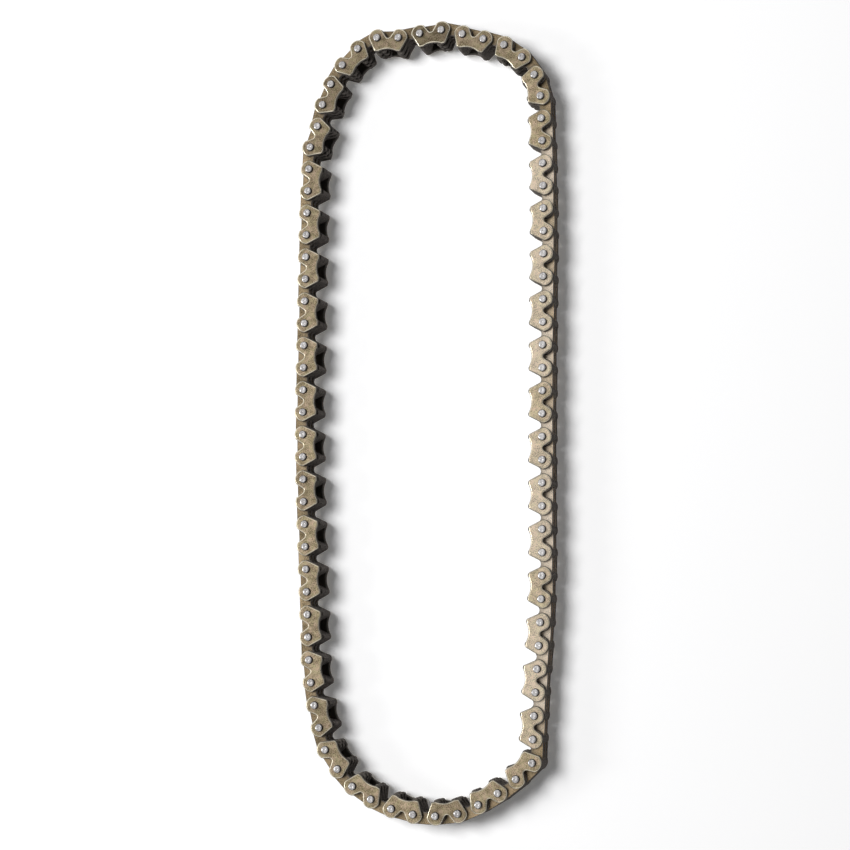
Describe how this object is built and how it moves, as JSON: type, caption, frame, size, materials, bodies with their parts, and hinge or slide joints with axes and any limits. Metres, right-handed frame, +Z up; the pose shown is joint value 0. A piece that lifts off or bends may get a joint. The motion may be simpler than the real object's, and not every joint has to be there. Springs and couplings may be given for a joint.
{
  "type": "timing chain",
  "caption": "Silent timing chain lying in a loose closed loop. Links with outer guide plates and riveted pins alternate with links of inner toothed plates that turn on the pins.",
  "frame": {"origin": "under the middle of the loop, on the surface that the pin ends stand on", "axes": "+Z up along the pins, +Y along the length of the loop"},
  "size_m": [0.075, 0.225, 0.0109],
  "materials": {
    "link_steel": "satin"
  },
  "bodies": {
    "guide_link_01": {"guide_link_01": "link_steel"},
    "joint_link_02": {"joint_link_02": "link_steel"},
    "guide_link_03": {"guide_link_03": "link_steel"},
    "joint_link_04": {"joint_link_04": "link_steel"},
    "guide_link_05": {"guide_link_05": "link_steel"},
    "joint_link_06": {"joint_link_06": "link_steel"},
    "guide_link_07": {"guide_link_07": "link_steel"},
    "joint_link_08": {"joint_link_08": "link_steel"},
    "link_pair_09_10": {"link_pair_09_10": "link_steel"},
    "link_pair_11_12": {"link_pair_11_12": "link_steel"},
    "link_pair_13_14": {"link_pair_13_14": "link_steel"},
    "link_pair_15_16": {"link_pair_15_16": "link_steel"},
    "link_pair_17_18": {"link_pair_17_18": "link_steel"},
    "link_pair_19_20": {"link_pair_19_20": "link_steel"},
    "link_pair_21_22": {"link_pair_21_22": "link_steel"},
    "link_pair_23_24": {"link_pair_23_24": "link_steel"},
    "link_pair_25_26": {"link_pair_25_26": "link_steel"},
    "link_pair_27_28": {"link_pair_27_28": "link_steel"},
    "link_pair_29_30": {"link_pair_29_30": "link_steel"},
    "guide_link_31": {"guide_link_31": "link_steel"},
    "joint_link_32": {"joint_link_32": "link_steel"},
    "guide_link_33": {"guide_link_33": "link_steel"},
    "joint_link_34": {"joint_link_34": "link_steel"},
    "guide_link_35": {"guide_link_35": "link_steel"},
    "joint_link_36": {"joint_link_36": "link_steel"},
    "guide_link_37": {"guide_link_37": "link_steel"},
    "joint_link_38": {"joint_link_38": "link_steel"},
    "guide_link_39": {"guide_link_39": "link_steel"},
    "joint_link_40": {"joint_link_40": "link_steel"},
    "guide_link_41": {"guide_link_41": "link_steel"},
    "joint_link_42": {"joint_link_42": "link_steel"},
    "guide_link_43": {"guide_link_43": "link_steel"},
    "joint_link_44": {"joint_link_44": "link_steel"},
    "guide_link_45": {"guide_link_45": "link_steel"},
    "joint_link_46": {"joint_link_46": "link_steel"},
    "guide_link_47": {"guide_link_47": "link_steel"},
    "joint_link_48": {"joint_link_48": "link_steel"},
    "link_pair_49_50": {"link_pair_49_50": "link_steel"},
    "link_pair_51_52": {"link_pair_51_52": "link_steel"},
    "link_pair_53_54": {"link_pair_53_54": "link_steel"},
    "link_pair_55_56": {"link_pair_55_56": "link_steel"},
    "link_pair_57_58": {"link_pair_57_58": "link_steel"},
    "link_pair_59_60": {"link_pair_59_60": "link_steel"},
    "link_pair_61_62": {"link_pair_61_62": "link_steel"},
    "link_pair_63_64": {"link_pair_63_64": "link_steel"},
    "link_pair_65_66": {"link_pair_65_66": "link_steel"},
    "link_pair_67_68": {"link_pair_67_68": "link_steel"},
    "link_pair_69_70": {"link_pair_69_70": "link_steel"},
    "guide_link_71": {"guide_link_71": "link_steel"},
    "joint_link_72": {"joint_link_72": "link_steel"},
    "guide_link_73": {"guide_link_73": "link_steel"},
    "joint_link_74": {"joint_link_74": "link_steel"},
    "guide_link_75": {"guide_link_75": "link_steel"},
    "joint_link_76": {"joint_link_76": "link_steel"},
    "guide_link_77": {"guide_link_77": "link_steel"},
    "joint_link_78": {"joint_link_78": "link_steel"},
    "guide_link_79": {"guide_link_79": "link_steel"},
    "joint_link_80": {"joint_link_80": "link_steel"},
    "guide_link_81": {"guide_link_81": "link_steel"},
    "joint_link_82": {"joint_link_82": "link_steel"}
  },
  "joints": [
    {"name": "pivot_42", "type": "hinge", "parent": "guide_link_41", "child": "joint_link_42", "pos_m": [-0.00873, -0.10821, 0.00544], "axis": [0, 0, 1], "range_deg": [-0.94, 5.89]},
    {"name": "pivot_43", "type": "hinge", "parent": "joint_link_42", "child": "guide_link_43", "pos_m": [-0.01459, -0.10576, 0.00544], "axis": [0, 0, 1], "range_deg": [-0.9, 5.62]},
    {"name": "pivot_44", "type": "hinge", "parent": "guide_link_43", "child": "joint_link_44", "pos_m": [-0.01994, -0.10233, 0.00544], "axis": [0, 0, 1], "range_deg": [-0.87, 5.42]},
    {"name": "pivot_45", "type": "hinge", "parent": "joint_link_44", "child": "guide_link_45", "pos_m": [-0.02429, -0.09772, 0.00544], "axis": [0, 0, 1], "range_deg": [-0.84, 5.23]},
    {"name": "pivot_46", "type": "hinge", "parent": "guide_link_45", "child": "joint_link_46", "pos_m": [-0.02788, -0.09247, 0.00544], "axis": [0, 0, 1], "range_deg": [-0.82, 5.1]},
    {"name": "pivot_47", "type": "hinge", "parent": "joint_link_46", "child": "guide_link_47", "pos_m": [-0.02966, -0.08638, 0.00544], "axis": [0, 0, 1], "range_deg": [-0.71, 4.44]},
    {"name": "pivot_48", "type": "hinge", "parent": "guide_link_47", "child": "joint_link_48", "pos_m": [-0.03107, -0.08019, 0.00544], "axis": [0, 0, 1], "range_deg": [-0.61, 3.79]},
    {"name": "pivot_49", "type": "hinge", "parent": "joint_link_48", "child": "link_pair_49_50", "pos_m": [-0.0321, -0.07392, 0.00544], "axis": [0, 0, 1], "range_deg": [-0.66, 4.09]},
    {"name": "pivot_51", "type": "hinge", "parent": "link_pair_49_50", "child": "link_pair_51_52", "pos_m": [-0.033, -0.06126, 0.00544], "axis": [0, 0, 1], "range_deg": [-0.35, 2.16]},
    {"name": "pivot_53", "type": "hinge", "parent": "link_pair_51_52", "child": "link_pair_53_54", "pos_m": [-0.0335, -0.04857, 0.00544], "axis": [0, 0, 1], "range_deg": [-1.59, 0.26]},
    {"name": "pivot_55", "type": "hinge", "parent": "link_pair_53_54", "child": "link_pair_55_56", "pos_m": [-0.034, -0.03588, 0.00544], "axis": [0, 0, 1], "range_deg": [-5.31, 0.85]},
    {"name": "pivot_57", "type": "hinge", "parent": "link_pair_55_56", "child": "link_pair_57_58", "pos_m": [-0.03449, -0.02319, 0.00544], "axis": [0, 0, 1], "range_deg": [-9.05, 1.45]},
    {"name": "pivot_59", "type": "hinge", "parent": "link_pair_57_58", "child": "link_pair_59_60", "pos_m": [-0.0348, -0.01049, 0.00544], "axis": [0, 0, 1], "range_deg": [-12.39, 1.98]},
    {"name": "pivot_61", "type": "hinge", "parent": "link_pair_59_60", "child": "link_pair_61_62", "pos_m": [-0.03489, 0.00221, 0.00544], "axis": [0, 0, 1], "range_deg": [-14.26, 2.28]},
    {"name": "pivot_63", "type": "hinge", "parent": "link_pair_61_62", "child": "link_pair_63_64", "pos_m": [-0.03475, 0.01491, 0.00544], "axis": [0, 0, 1], "range_deg": [-14.04, 2.25]},
    {"name": "pivot_65", "type": "hinge", "parent": "link_pair_63_64", "child": "link_pair_65_66", "pos_m": [-0.03454, 0.02761, 0.00544], "axis": [0, 0, 1], "range_deg": [-12.08, 1.93]},
    {"name": "pivot_67", "type": "hinge", "parent": "link_pair_65_66", "child": "link_pair_67_68", "pos_m": [-0.03432, 0.0403, 0.00544], "axis": [0, 0, 1], "range_deg": [-9.1, 1.46]},
    {"name": "pivot_69", "type": "hinge", "parent": "link_pair_67_68", "child": "link_pair_69_70", "pos_m": [-0.0341, 0.053, 0.00544], "axis": [0, 0, 1], "range_deg": [-5.57, 0.89]},
    {"name": "pivot_71", "type": "hinge", "parent": "link_pair_69_70", "child": "guide_link_71", "pos_m": [-0.0337, 0.06569, 0.00544], "axis": [0, 0, 1], "range_deg": [-1.54, 0.25]},
    {"name": "pivot_72", "type": "hinge", "parent": "guide_link_71", "child": "joint_link_72", "pos_m": [-0.03341, 0.07204, 0.00544], "axis": [0, 0, 1], "range_deg": [-0.17, 1.06]},
    {"name": "pivot_73", "type": "hinge", "parent": "joint_link_72", "child": "guide_link_73", "pos_m": [-0.03307, 0.07838, 0.00544], "axis": [0, 0, 1], "range_deg": [-0.24, 1.49]},
    {"name": "pivot_74", "type": "hinge", "parent": "guide_link_73", "child": "joint_link_74", "pos_m": [-0.03093, 0.08436, 0.00544], "axis": [0, 0, 1], "range_deg": [-0.33, 2.06]},
    {"name": "pivot_75", "type": "hinge", "parent": "joint_link_74", "child": "guide_link_75", "pos_m": [-0.02943, 0.09053, 0.00544], "axis": [0, 0, 1], "range_deg": [-0.47, 2.96]},
    {"name": "pivot_76", "type": "hinge", "parent": "guide_link_75", "child": "joint_link_76", "pos_m": [-0.02694, 0.09637, 0.00544], "axis": [0, 0, 1], "range_deg": [-0.59, 3.69]},
    {"name": "pivot_77", "type": "hinge", "parent": "joint_link_76", "child": "guide_link_77", "pos_m": [-0.02351, 0.10171, 0.00544], "axis": [0, 0, 1], "range_deg": [-0.69, 4.33]},
    {"name": "pivot_78", "type": "hinge", "parent": "guide_link_77", "child": "joint_link_78", "pos_m": [-0.01897, 0.10615, 0.00544], "axis": [0, 0, 1], "range_deg": [-0.79, 4.92]},
    {"name": "pivot_79", "type": "hinge", "parent": "joint_link_78", "child": "guide_link_79", "pos_m": [-0.01327, 0.10897, 0.00544], "axis": [0, 0, 1], "range_deg": [-0.88, 5.48]},
    {"name": "pivot_80", "type": "hinge", "parent": "guide_link_79", "child": "joint_link_80", "pos_m": [-0.00694, 0.10856, 0.00544], "axis": [0, 0, 1], "range_deg": [-0.95, 5.97]},
    {"name": "pivot_41", "type": "hinge", "parent": "guide_link_41", "child": "joint_link_40", "pos_m": [-0.00254, -0.1096, 0.00544], "axis": [0, 0, 1], "range_deg": [-6.73, 1.08]},
    {"name": "pivot_40", "type": "hinge", "parent": "joint_link_40", "child": "guide_link_39", "pos_m": [0.00381, -0.1099, 0.00544], "axis": [0, 0, 1], "range_deg": [-6.88, 1.1]},
    {"name": "pivot_39", "type": "hinge", "parent": "guide_link_39", "child": "joint_link_38", "pos_m": [0.01011, -0.1091, 0.00544], "axis": [0, 0, 1], "range_deg": [-6.77, 1.08]},
    {"name": "pivot_38", "type": "hinge", "parent": "joint_link_38", "child": "guide_link_37", "pos_m": [0.01592, -0.10655, 0.00544], "axis": [0, 0, 1], "range_deg": [-6.36, 1.02]},
    {"name": "pivot_37", "type": "hinge", "parent": "guide_link_37", "child": "joint_link_36", "pos_m": [0.02138, -0.10331, 0.00544], "axis": [0, 0, 1], "range_deg": [-5.5, 0.88]},
    {"name": "pivot_36", "type": "hinge", "parent": "joint_link_36", "child": "guide_link_35", "pos_m": [0.02641, -0.09944, 0.00544], "axis": [0, 0, 1], "range_deg": [-4.21, 0.67]},
    {"name": "pivot_35", "type": "hinge", "parent": "guide_link_35", "child": "joint_link_34", "pos_m": [0.03094, -0.09498, 0.00544], "axis": [0, 0, 1], "range_deg": [-2.57, 0.41]},
    {"name": "pivot_34", "type": "hinge", "parent": "joint_link_34", "child": "guide_link_33", "pos_m": [0.03122, -0.08864, 0.00544], "axis": [0, 0, 1], "range_deg": [-1.96, 0.31]},
    {"name": "pivot_33", "type": "hinge", "parent": "guide_link_33", "child": "joint_link_32", "pos_m": [0.03156, -0.0823, 0.00544], "axis": [0, 0, 1], "range_deg": [-1.12, 0.18]},
    {"name": "pivot_32", "type": "hinge", "parent": "joint_link_32", "child": "guide_link_31", "pos_m": [0.03197, -0.07596, 0.00544], "axis": [0, 0, 1], "range_deg": [-1.17, 0.19]},
    {"name": "pivot_31", "type": "hinge", "parent": "guide_link_31", "child": "link_pair_29_30", "pos_m": [0.03244, -0.06963, 0.00544], "axis": [0, 0, 1], "range_deg": [-0.23, 1.46]},
    {"name": "pivot_29", "type": "hinge", "parent": "link_pair_29_30", "child": "link_pair_27_28", "pos_m": [0.03339, -0.05696, 0.00544], "axis": [0, 0, 1], "range_deg": [-0.84, 5.25]},
    {"name": "pivot_27", "type": "hinge", "parent": "link_pair_27_28", "child": "link_pair_25_26", "pos_m": [0.03394, -0.04428, 0.00544], "axis": [0, 0, 1], "range_deg": [-1.36, 8.47]},
    {"name": "pivot_25", "type": "hinge", "parent": "link_pair_25_26", "child": "link_pair_23_24", "pos_m": [0.03407, -0.03158, 0.00544], "axis": [0, 0, 1], "range_deg": [-1.69, 10.53]},
    {"name": "pivot_23", "type": "hinge", "parent": "link_pair_23_24", "child": "link_pair_21_22", "pos_m": [0.03413, -0.01888, 0.00544], "axis": [0, 0, 1], "range_deg": [-1.83, 11.46]},
    {"name": "pivot_21", "type": "hinge", "parent": "link_pair_21_22", "child": "link_pair_19_20", "pos_m": [0.03421, -0.00618, 0.00544], "axis": [0, 0, 1], "range_deg": [-1.84, 11.5]},
    {"name": "pivot_19", "type": "hinge", "parent": "link_pair_19_20", "child": "link_pair_17_18", "pos_m": [0.03432, 0.00652, 0.00544], "axis": [0, 0, 1], "range_deg": [-1.74, 10.89]},
    {"name": "pivot_17", "type": "hinge", "parent": "link_pair_17_18", "child": "link_pair_15_16", "pos_m": [0.03446, 0.01922, 0.00544], "axis": [0, 0, 1], "range_deg": [-1.56, 9.74]},
    {"name": "pivot_15", "type": "hinge", "parent": "link_pair_15_16", "child": "link_pair_13_14", "pos_m": [0.03463, 0.03192, 0.00544], "axis": [0, 0, 1], "range_deg": [-1.27, 7.94]},
    {"name": "pivot_13", "type": "hinge", "parent": "link_pair_13_14", "child": "link_pair_11_12", "pos_m": [0.03483, 0.04462, 0.00544], "axis": [0, 0, 1], "range_deg": [-0.85, 5.29]},
    {"name": "pivot_11", "type": "hinge", "parent": "link_pair_11_12", "child": "link_pair_09_10", "pos_m": [0.03489, 0.05732, 0.00544], "axis": [0, 0, 1], "range_deg": [-0.28, 1.73]},
    {"name": "pivot_09", "type": "hinge", "parent": "link_pair_09_10", "child": "joint_link_08", "pos_m": [0.03475, 0.07002, 0.00544], "axis": [0, 0, 1], "range_deg": [-0.99, 0.16]},
    {"name": "pivot_08", "type": "hinge", "parent": "joint_link_08", "child": "guide_link_07", "pos_m": [0.03461, 0.07637, 0.00544], "axis": [0, 0, 1], "range_deg": [-1.38, 0.22]},
    {"name": "pivot_07", "type": "hinge", "parent": "guide_link_07", "child": "joint_link_06", "pos_m": [0.03443, 0.08271, 0.00544], "axis": [0, 0, 1], "range_deg": [-2.02, 0.32]},
    {"name": "pivot_06", "type": "hinge", "parent": "joint_link_06", "child": "guide_link_05", "pos_m": [0.03419, 0.08906, 0.00544], "axis": [0, 0, 1], "range_deg": [-2.33, 0.37]},
    {"name": "pivot_05", "type": "hinge", "parent": "guide_link_05", "child": "joint_link_04", "pos_m": [0.03248, 0.09517, 0.00544], "axis": [0, 0, 1], "range_deg": [-3.46, 0.55]},
    {"name": "pivot_04", "type": "hinge", "parent": "joint_link_04", "child": "guide_link_03", "pos_m": [0.02893, 0.10044, 0.00544], "axis": [0, 0, 1], "range_deg": [-5.28, 0.84]},
    {"name": "pivot_03", "type": "hinge", "parent": "guide_link_03", "child": "joint_link_02", "pos_m": [0.02389, 0.1043, 0.00544], "axis": [0, 0, 1], "range_deg": [-6.95, 1.11]},
    {"name": "pivot_02", "type": "hinge", "parent": "joint_link_02", "child": "guide_link_01", "pos_m": [0.01789, 0.10638, 0.00544], "axis": [0, 0, 1], "range_deg": [-7.88, 1.26]},
    {"name": "pivot_01", "type": "hinge", "parent": "guide_link_01", "child": "joint_link_82", "pos_m": [0.01182, 0.10825, 0.00544], "axis": [0, 0, 1], "range_deg": [-7.89, 1.26]},
    {"name": "pivot_82", "type": "hinge", "parent": "joint_link_82", "child": "guide_link_81", "pos_m": [0.00569, 0.1099, 0.00544], "axis": [0, 0, 1], "range_deg": [-7.41, 1.19]}
  ],
  "couplings": [
    {"joint": "pivot_43", "follows": "pivot_42", "ratio": 0.955},
    {"joint": "pivot_44", "follows": "pivot_42", "ratio": 0.91988},
    {"joint": "pivot_45", "follows": "pivot_42", "ratio": 0.88806},
    {"joint": "pivot_46", "follows": "pivot_42", "ratio": 0.8662},
    {"joint": "pivot_47", "follows": "pivot_42", "ratio": 0.75413},
    {"joint": "pivot_48", "follows": "pivot_42", "ratio": 0.64338},
    {"joint": "pivot_49", "follows": "pivot_42", "ratio": 0.69473},
    {"joint": "pivot_51", "follows": "pivot_42", "ratio": 0.36645},
    {"joint": "pivot_53", "follows": "pivot_42", "ratio": -0.27006},
    {"joint": "pivot_55", "follows": "pivot_42", "ratio": -0.90145},
    {"joint": "pivot_57", "follows": "pivot_42", "ratio": -1.5375},
    {"joint": "pivot_59", "follows": "pivot_42", "ratio": -2.1042},
    {"joint": "pivot_61", "follows": "pivot_42", "ratio": -2.422},
    {"joint": "pivot_63", "follows": "pivot_42", "ratio": -2.384},
    {"joint": "pivot_65", "follows": "pivot_42", "ratio": -2.0512},
    {"joint": "pivot_67", "follows": "pivot_42", "ratio": -1.5448},
    {"joint": "pivot_69", "follows": "pivot_42", "ratio": -0.94643},
    {"joint": "pivot_71", "follows": "pivot_42", "ratio": -0.26123},
    {"joint": "pivot_72", "follows": "pivot_42", "ratio": 0.17948},
    {"joint": "pivot_73", "follows": "pivot_42", "ratio": 0.25206},
    {"joint": "pivot_74", "follows": "pivot_42", "ratio": 0.34889},
    {"joint": "pivot_75", "follows": "pivot_42", "ratio": 0.5023},
    {"joint": "pivot_76", "follows": "pivot_42", "ratio": 0.62599},
    {"joint": "pivot_77", "follows": "pivot_42", "ratio": 0.73595},
    {"joint": "pivot_78", "follows": "pivot_42", "ratio": 0.83582},
    {"joint": "pivot_79", "follows": "pivot_42", "ratio": 0.93067},
    {"joint": "pivot_80", "follows": "pivot_42", "ratio": 1.0136},
    {"joint": "pivot_41", "follows": "pivot_42", "ratio": -1.1423},
    {"joint": "pivot_40", "follows": "pivot_42", "ratio": -1.1674},
    {"joint": "pivot_39", "follows": "pivot_42", "ratio": -1.15},
    {"joint": "pivot_38", "follows": "pivot_42", "ratio": -1.0799},
    {"joint": "pivot_37", "follows": "pivot_42", "ratio": -0.93376},
    {"joint": "pivot_36", "follows": "pivot_42", "ratio": -0.71453},
    {"joint": "pivot_35", "follows": "pivot_42", "ratio": -0.43659},
    {"joint": "pivot_34", "follows": "pivot_42", "ratio": -0.33311},
    {"joint": "pivot_33", "follows": "pivot_42", "ratio": -0.18996},
    {"joint": "pivot_32", "follows": "pivot_42", "ratio": -0.19922},
    {"joint": "pivot_31", "follows": "pivot_42", "ratio": 0.24789},
    {"joint": "pivot_29", "follows": "pivot_42", "ratio": 0.89203},
    {"joint": "pivot_27", "follows": "pivot_42", "ratio": 1.4388},
    {"joint": "pivot_25", "follows": "pivot_42", "ratio": 1.7881},
    {"joint": "pivot_23", "follows": "pivot_42", "ratio": 1.9467},
    {"joint": "pivot_21", "follows": "pivot_42", "ratio": 1.9523},
    {"joint": "pivot_19", "follows": "pivot_42", "ratio": 1.8494},
    {"joint": "pivot_17", "follows": "pivot_42", "ratio": 1.6546},
    {"joint": "pivot_15", "follows": "pivot_42", "ratio": 1.3476},
    {"joint": "pivot_13", "follows": "pivot_42", "ratio": 0.89876},
    {"joint": "pivot_11", "follows": "pivot_42", "ratio": 0.29441},
    {"joint": "pivot_09", "follows": "pivot_42", "ratio": -0.16757},
    {"joint": "pivot_08", "follows": "pivot_42", "ratio": -0.23457},
    {"joint": "pivot_07", "follows": "pivot_42", "ratio": -0.34334},
    {"joint": "pivot_06", "follows": "pivot_42", "ratio": -0.39467},
    {"joint": "pivot_05", "follows": "pivot_42", "ratio": -0.58681},
    {"joint": "pivot_04", "follows": "pivot_42", "ratio": -0.89601},
    {"joint": "pivot_03", "follows": "pivot_42", "ratio": -1.18},
    {"joint": "pivot_02", "follows": "pivot_42", "ratio": -1.3382},
    {"joint": "pivot_01", "follows": "pivot_42", "ratio": -1.3389},
    {"joint": "pivot_82", "follows": "pivot_42", "ratio": -1.258}
  ]
}
